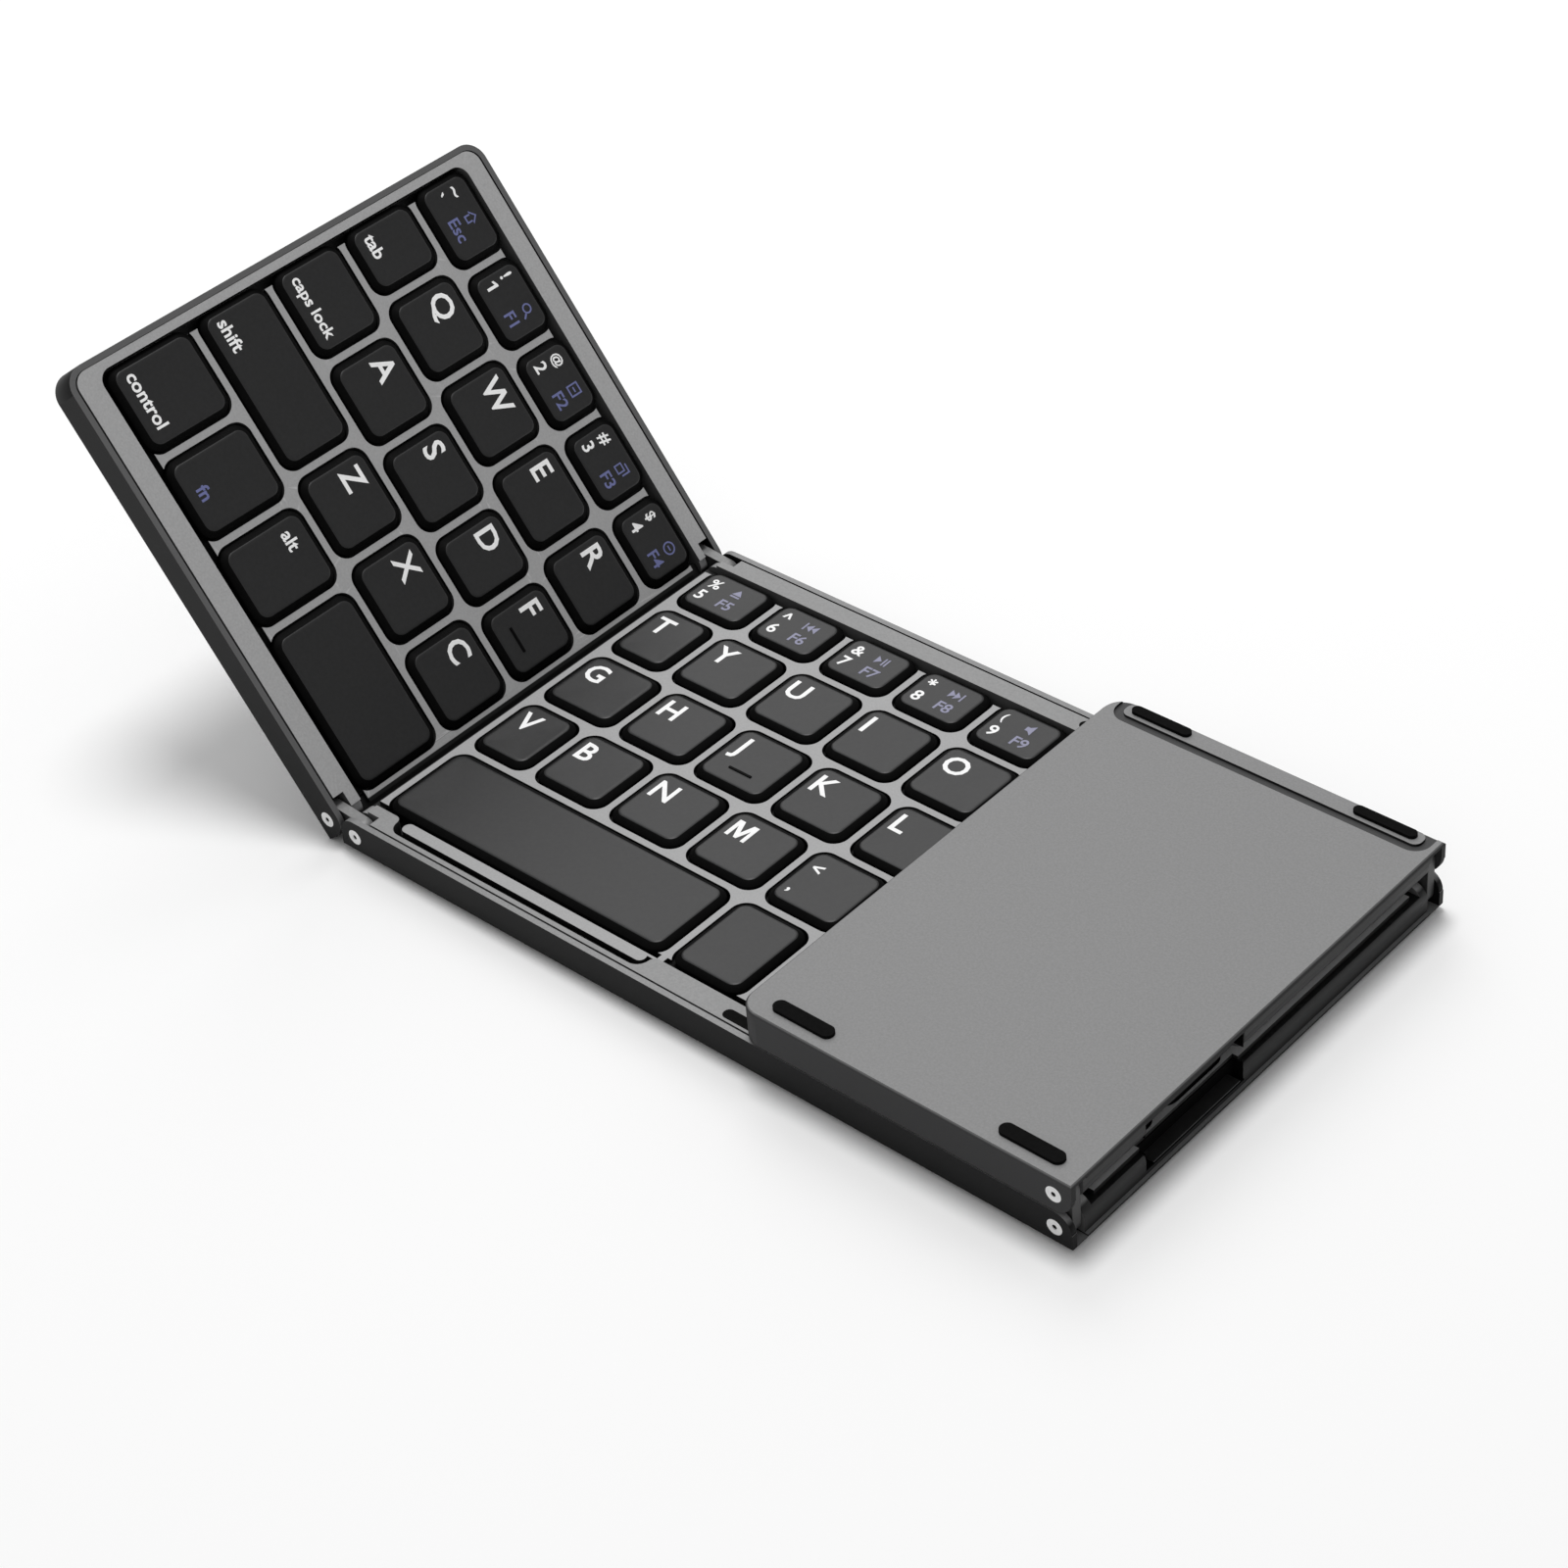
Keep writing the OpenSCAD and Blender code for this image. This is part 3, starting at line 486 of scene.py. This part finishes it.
# the caps' skirts and undersides are painted near black: painted shade on the sides
skirt_shade_mat = grained("key_skirt_shade", (0.0025, 0.0025, 0.0025), 0.6, 0.2, shine=0.05)
cap_high = 0.0023
cap_wall = 0.0008
roof_down = 0.0012
corner = 0.0029
least_corner = 0.0003
corner_steps = 7
dish_deep = 0.00012
dish_steps = [0.08, 0.2, 0.4, 0.6, 0.8]
# how far in and how far below the top each ring of the outer skin lies
outer_rings = [
    (0.0, cap_high),
    (0.0, 0.00092),
    (0.00005, 0.0008),
    (0.0009, 0.00026),
    (0.0011, 0.00011),
    (0.00128, 0.00003),
    (0.0015, 0.0),
]
rim_in = outer_rings[-1][0]
shaded_bands = 4
# the material slots of every cap
top_slot = 0
skirt_shade_slot = 1
white_slot = 2
blue_slot = 3
blue_sheen_slot = 4


def rounded_ring(bm, box, inset, z):
    x0, x1, y0, y1 = box
    r = max(corner - inset, least_corner)
    ring = []
    for cx, cy, start in [
        (x1 - inset - r, y1 - inset - r, 0),
        (x0 + inset + r, y1 - inset - r, 90),
        (x0 + inset + r, y0 + inset + r, 180),
        (x1 - inset - r, y0 + inset + r, 270),
    ]:
        for k in range(corner_steps + 1):
            a = math.radians(start + 90 * k / corner_steps)
            ring.append(bm.verts.new((cx + r * math.cos(a), cy + r * math.sin(a), z)))
    return ring


def cap_band(bm, low, high, slot):
    for k in range(len(low)):
        n = (k + 1) % len(low)
        face = bm.faces.new((low[k], low[n], high[n], high[k]))
        face.material_index = slot
        face.smooth = True


def dish_drop(t):
    return dish_deep * (1 - (1 - t) ** 2)


def dish_at(box, x, y, top):
    hx = (box[1] - box[0]) / 2 - rim_in
    hy = (box[3] - box[2]) / 2 - rim_in
    cx = (box[0] + box[1]) / 2
    cy = (box[2] + box[3]) / 2
    t = min(hx - abs(x - cx), hy - abs(y - cy)) / min(hx, hy)
    return top - dish_drop(min(max(t, 0.0), dish_steps[-1]))


def add_cap(bm, box, top):
    rings = [rounded_ring(bm, box, inset, top - down) for inset, down in outer_rings]
    inner = min(box[1] - box[0], box[3] - box[2]) / 2 - rim_in
    for t in dish_steps:
        rings.append(rounded_ring(bm, box, rim_in + t * inner, top - dish_drop(t)))
    for k in range(len(rings) - 1):
        slot = skirt_shade_slot if k < shaded_bands else top_slot
        cap_band(bm, rings[k], rings[k + 1], slot)
    bm.faces.new(rings[-1]).material_index = top_slot
    mouth = rounded_ring(bm, box, cap_wall, top - cap_high)
    roof = rounded_ring(bm, box, cap_wall, top - roof_down)
    cap_band(bm, mouth, rings[0], skirt_shade_slot)
    cap_band(bm, roof, mouth, skirt_shade_slot)
    bm.faces.new(list(reversed(roof))).material_index = skirt_shade_slot


# The caps of one node, each by the four sides of its outline and its top, from
# left to right. "turn" is how the panel is raised: caps are made level, then turned.
def cap_boxes(name, turn):
    bm = bmesh.new()
    bm.from_mesh(nodes[name].data)
    bmesh.ops.remove_doubles(bm, verts=bm.verts, dist=weld_reach)
    bmesh.ops.transform(bm, matrix=turn.transposed().to_4x4(), verts=bm.verts)
    left = set(bm.verts)
    found = []
    while left:
        reached = [left.pop()]
        group = []
        while reached:
            v = reached.pop()
            group.append(v.co.copy())
            for e in v.link_edges:
                other = e.other_vert(v)
                if other in left:
                    left.remove(other)
                    reached.append(other)
        xs = [c.x for c in group]
        ys = [c.y for c in group]
        low = min(c.z for c in group)
        found.append(((min(xs), max(xs), min(ys), max(ys)), low + cap_high))
    bm.free()
    return sorted(found, key=lambda cap: (round(cap[0][0], 4), cap[0][2]))


# ---- Legends ----
# Pad printed on the caps: white letters and marks, and the function layer in blue.
# Plain letters, digits and marks only.
white_ink = grained("white_print", (0.95, 0.95, 0.95), 0.6, 0.03, 900)
blue_ink = grained("blue_print", (0.14, 0.155, 0.34), 0.6, 0.05, 900)
# the same blue print, painted paler for the middle panel: painted sheen
blue_print_sheen = grained("blue_print_painted_sheen", (0.27, 0.27, 0.38), 0.6, 0.05, 900)
ink_half = 0.00003
ink_join = 0.000001
letter_size = 0.0043
digit_size = 0.0026
word_size = 0.00244
label_size = 0.0024
icon_size = 0.0026
plain_stroke = 0.018
word_stroke = 0.022
label_stroke = 0.015
letter_in = 0.0023
letter_down = 0.0072
pair_in = 0.0025
pair_down = 0.0062
pair_up = 0.0035
number_in = 0.0023
word_in = 0.0023
word_up = 0.0031
arrow_size = 0.0024
small_arrow_size = 0.0018
alt_in = 0.003
alt_up = 0.0125
upper_up = 0.0067
lower_up = 0.0029
label_up = 0.003
# these reach above or below the letters, so each is fitted to its own height
tall_marks = "@()$%&#{}[]|/\\"


def letter_mesh(text, stroke):
    curve = bpy.data.curves.new("legend", "FONT")
    curve.body = text
    curve.size = 1
    curve.resolution_u = 3
    curve.offset = stroke
    curve.extrude = 0.01
    sample = bpy.data.objects.new("legend", curve)
    scene.collection.objects.link(sample)
    bpy.context.view_layer.update()
    mesh = bpy.data.meshes.new_from_object(sample)
    bpy.data.objects.remove(sample)
    bpy.data.curves.remove(curve)
    return mesh


plain = letter_mesh("H", 0)
letter_high = max(v.co.y for v in plain.vertices)
bpy.data.meshes.remove(plain)


def lay_ink(made, box, top, slot):
    for v in made:
        lift = ink_half if v.co.z > 0 else -ink_half
        v.co.z = dish_at(box, v.co.x, v.co.y, top) + lift
    for f in {f for v in made for f in v.link_faces}:
        f.material_index = slot


def print_text(bm, box, top, text, x, y, high, slot, stroke=plain_stroke):
    drawn = {"M": "letter_m", "1": "figure_one"}.get(text)
    if drawn:
        print_sign(bm, box, top, drawn, x, y, high, slot)
        return
    mesh = letter_mesh(text, stroke)
    scale = high / letter_high
    start = min(v.co.x for v in mesh.vertices)
    if text in tall_marks:
        bottom = min(v.co.y for v in mesh.vertices)
        scale = high / (max(v.co.y for v in mesh.vertices) - bottom)
        y -= bottom * scale
    before = set(bm.verts)
    bm.from_mesh(mesh)
    bpy.data.meshes.remove(mesh)
    made = [v for v in bm.verts if v not in before]
    for v in made:
        v.co.x = x + (v.co.x - start) * scale
        v.co.y = y + v.co.y * scale
    bmesh.ops.remove_doubles(bm, verts=made, dist=ink_join)
    lay_ink([v for v in made if v.is_valid], box, top, slot)


def add_prism(bm, corners, bottom, top):
    low = [bm.verts.new((x, y, bottom)) for x, y in corners]
    high = [bm.verts.new((x, y, top)) for x, y in corners]
    faces = [bm.faces.new(list(reversed(low))), bm.faces.new(high)]
    for k in range(len(low)):
        n = (k + 1) % len(low)
        faces.append(bm.faces.new((low[k], low[n], high[n], high[k])))
    return low + high, faces


# Outlines of the marks that are drawn and not set in the font, each about 1 high.
def frame_of(w, h, t):
    return [
        [(0, 0), (w, 0), (w, t), (0, t)],
        [(0, h - t), (w, h - t), (w, h), (0, h)],
        [(0, t), (t, t), (t, h - t), (0, h - t)],
        [(w - t, t), (w, t), (w, h - t), (w - t, h - t)],
    ]


def ring_of(cx, cy, r, t, n=16):
    pieces = []
    for k in range(n):
        a = 2 * math.pi * k / n
        b = 2 * math.pi * (k + 1) / n
        pieces.append(
            [
                (cx + (r - t) * math.cos(a), cy + (r - t) * math.sin(a)),
                (cx + (r - t) * math.cos(b), cy + (r - t) * math.sin(b)),
                (cx + r * math.cos(b), cy + r * math.sin(b)),
                (cx + r * math.cos(a), cy + r * math.sin(a)),
            ]
        )
    return pieces


def wedge(x, way):
    return [(x, 0.1), (x + 0.45 * way, 0.5), (x, 0.9)][::-way]


def bar(x):
    return [(x, 0.1), (x + 0.13, 0.1), (x + 0.13, 0.9), (x, 0.9)]


copy_shadow = [(0.85, 0.25), (0.97, 0.25), (0.97, 1), (0.25, 1), (0.25, 0.88), (0.85, 0.88)]
signs = {
    "letter_m": [
        [
            (0, 0),
            (0, 1),
            (0.27, 1),
            (0.5, 0.4),
            (0.73, 1),
            (1, 1),
            (1, 0),
            (0.82, 0),
            (0.82, 0.68),
            (0.57, 0.04),
            (0.43, 0.04),
            (0.18, 0.68),
            (0.18, 0),
        ]
    ],
    "figure_one": [
        [(0.28, 0), (0.28, 0.74), (0, 0.62), (0, 0.8), (0.34, 1), (0.5, 1), (0.5, 0)]
    ],
    "home": [
        [(0.5, 1), (0, 0.5), (0.15, 0.5), (0.5, 0.85), (0.85, 0.5), (1, 0.5)],
        [(0.2, 0), (0.8, 0), (0.8, 0.5), (0.68, 0.5), (0.68, 0.12), (0.2, 0.12)],
        [(0.2, 0.12), (0.32, 0.12), (0.32, 0.5), (0.2, 0.5)],
    ],
    "search": ring_of(0.4, 0.6, 0.38, 0.12)
    + [[(0.64, 0.28), (0.94, -0.04), (1.04, 0.06), (0.74, 0.38)]],
    "page": frame_of(0.9, 1, 0.12)
    + [[(0.25, 0.44), (0.65, 0.44), (0.65, 0.56), (0.25, 0.56)]],
    "copy": frame_of(0.7, 0.7, 0.11) + [copy_shadow],
    "paste": ring_of(0.5, 0.5, 0.5, 0.12)
    + [[(0.3, 0.44), (0.7, 0.44), (0.7, 0.56), (0.3, 0.56)]],
    "eject": [
        [(0.1, 0.35), (0.9, 0.35), (0.5, 0.95)],
        [(0.1, 0.08), (0.9, 0.08), (0.9, 0.24), (0.1, 0.24)],
    ],
    "back": [bar(0), wedge(0.65, -1), wedge(1.1, -1)],
    "play": [wedge(0, 1), bar(0.6), bar(0.85)],
    "next": [wedge(0, 1), wedge(0.45, 1), bar(0.97)],
    "quiet": [[(0, 0.3), (0.25, 0.3), (0.6, 0), (0.6, 1), (0.25, 0.7), (0, 0.7)]],
    "left": [[(0, 0.5), (0.8, 0.05), (0.8, 0.95)]],
    "right": [[(0, 0.05), (0.8, 0.5), (0, 0.95)]],
    "up": [[(0, 0), (1, 0), (0.5, 0.8)]],
    "down": [[(0, 0.8), (0.5, 0), (1, 0.8)]],
}


def print_sign(bm, box, top, name, x, y, size, slot):
    for outline in signs[name]:
        corners = [(x + px * size, y + py * size) for px, py in outline]
        made, _ = add_prism(bm, corners, -1, 1)
        lay_ink(made, box, top, slot)


# Each of these says where one kind of key has its print.
def letter(text):
    def put(bm, box, top):
        x = box[0] + letter_in
        print_text(bm, box, top, text, x, box[3] - letter_down, letter_size, white_slot)

    return put


def pair(upper, lower):
    def put(bm, box, top):
        x = box[0] + pair_in
        print_text(bm, box, top, upper, x, box[3] - pair_down, digit_size, white_slot)
        print_text(bm, box, top, lower, x, box[2] + pair_up, digit_size, white_slot)

    return put


def words(text, high=word_size, slot=white_slot, x=word_in, y=word_up):
    def put(bm, box, top):
        print_text(bm, box, top, text, box[0] + x, box[2] + y, high, slot, word_stroke)

    return put


def number(upper, lower, icon, label, across, slot):
    def put(bm, box, top):
        x = box[0] + number_in
        print_text(bm, box, top, upper, x, box[2] + upper_up, digit_size, white_slot)
        print_text(bm, box, top, lower, x, box[2] + lower_up, digit_size, white_slot)
        x = box[0] + across
        if icon:
            print_sign(bm, box, top, icon, x, box[2] + upper_up, icon_size, slot)
        y = box[2] + label_up
        print_text(bm, box, top, label, x, y, label_size, slot, label_stroke)

    return put


def arrow(name, size=arrow_size):
    def put(bm, box, top):
        x = (box[0] + box[1]) / 2 - size / 2
        y = (box[2] + box[3]) / 2 - size / 2
        print_sign(bm, box, top, name, x, y, size, white_slot)

    return put


def bare(bm, box, top):
    return


# The low ridge that the two home keys have for the finger to find, coloured like
# the skirts: the cap's black darkened as painted shade.
def with_ridge(put):
    long = 0.005
    wide = 0.00045
    up = 0.0042
    proud = 0.00009
    sunk = 0.0004

    def both(bm, box, top):
        put(bm, box, top)
        x0 = (box[0] + box[1]) / 2 - long / 2
        x1 = x0 + long
        y0 = box[2] + up
        y1 = y0 + wide
        corners = [(x0, y0), (x1, y0), (x1, y1), (x0, y1)]
        _, faces = add_prism(bm, corners, top - sunk, top + proud)
        for face in faces:
            face.material_index = skirt_shade_slot

    return both


def make_caps(node, body, turn, legends):
    bm = bmesh.new()
    for (box, top), put in zip(cap_boxes(node, turn), legends, strict=True):
        add_cap(bm, box, top)
        put(bm, box, top)
    bmesh.ops.transform(bm, matrix=turn.to_4x4(), verts=bm.verts)
    mats = [cap_mat, skirt_shade_mat, white_ink, blue_ink, blue_print_sheen]
    piece = new_piece(node + "_cap", bm, mats)
    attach(piece, body)
    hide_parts(node)


# ---- Left wing's keys ----
# Twenty-three caps, clipped on one by one, so each goes down alone. The number row
# has its function layer in blue, as has the key that calls it up.
wing_turn = Matrix.Rotation(wing_raise, 3, "Y")
left_across = 0.0086
grave_across = 0.0075
long_word_size = 0.0022
fn_in = 0.006
left_keys = {
    "grave_key": number("~", "`", "home", "Esc", grave_across, blue_slot),
    "one_key": number("!", "1", "search", "F1", left_across, blue_slot),
    "two_key": number("@", "2", "page", "F2", left_across, blue_slot),
    "three_key": number("#", "3", "copy", "F3", left_across, blue_slot),
    "four_key": number("$", "4", "paste", "F4", left_across, blue_slot),
    "tab_key": words("tab"),
    "q_key": letter("Q"),
    "w_key": letter("W"),
    "e_key": letter("E"),
    "r_key": letter("R"),
    "caps_lock_key": words("caps lock", long_word_size),
    "a_key": letter("A"),
    "s_key": letter("S"),
    "d_key": letter("D"),
    "f_key": with_ridge(letter("F")),
    "left_shift_key": words("shift"),
    "z_key": letter("Z"),
    "x_key": letter("X"),
    "c_key": letter("C"),
    "control_key": words("control"),
    "fn_key": words("fn", slot=blue_slot, x=fn_in),
    "alt_key": words("alt", x=alt_in, y=alt_up),
    "left_space_bar": bare,
}
for node, put in left_keys.items():
    make_caps(node, node + "_body", wing_turn, [put])

# ---- Middle panel's keys ----
# Forty-one caps in seven groups: the space bar and the enter key alone, and five
# rows. Their function layer is the blue print painted paler: painted sheen.
level = Matrix.Identity(3)
middle_across = 0.0075
middle_rows = {
    "middle_number_keys": [
        number("%", "5", "eject", "F5", middle_across, blue_sheen_slot),
        number("^", "6", "back", "F6", middle_across, blue_sheen_slot),
        number("&", "7", "play", "F7", middle_across, blue_sheen_slot),
        number("*", "8", "next", "F8", middle_across, blue_sheen_slot),
        number("(", "9", "quiet", "F9", middle_across, blue_sheen_slot),
        number(")", "0", None, "F10", middle_across, blue_sheen_slot),
        number("_", "-", None, "F11", middle_across, blue_sheen_slot),
        number("+", "=", None, "F12", middle_across, blue_sheen_slot),
        words("delete"),
    ],
    "middle_upper_keys": [letter(c) for c in "TYUIOP"]
    + [pair("{", "["), pair("}", "]"), pair("|", "\\")],
    "middle_home_keys": [
        letter("G"),
        letter("H"),
        with_ridge(letter("J")),
        letter("K"),
        letter("L"),
        pair(":", ";"),
        pair('"', "'"),
    ],
    "enter_key": [words("enter")],
    "middle_lower_keys": [letter(c) for c in "VBNM"]
    + [pair("<", ","), pair(">", "."), pair("?", "/"), words("shift")],
    "space_bar": [bare],
    "middle_bottom_keys": [
        bare,
        words("alt", x=alt_in, y=alt_up),
        arrow("left"),
        arrow("down", small_arrow_size),
        arrow("up", small_arrow_size),
        arrow("right"),
    ],
}
for node, legends in middle_rows.items():
    make_caps(node, node + "_body", level, legends)
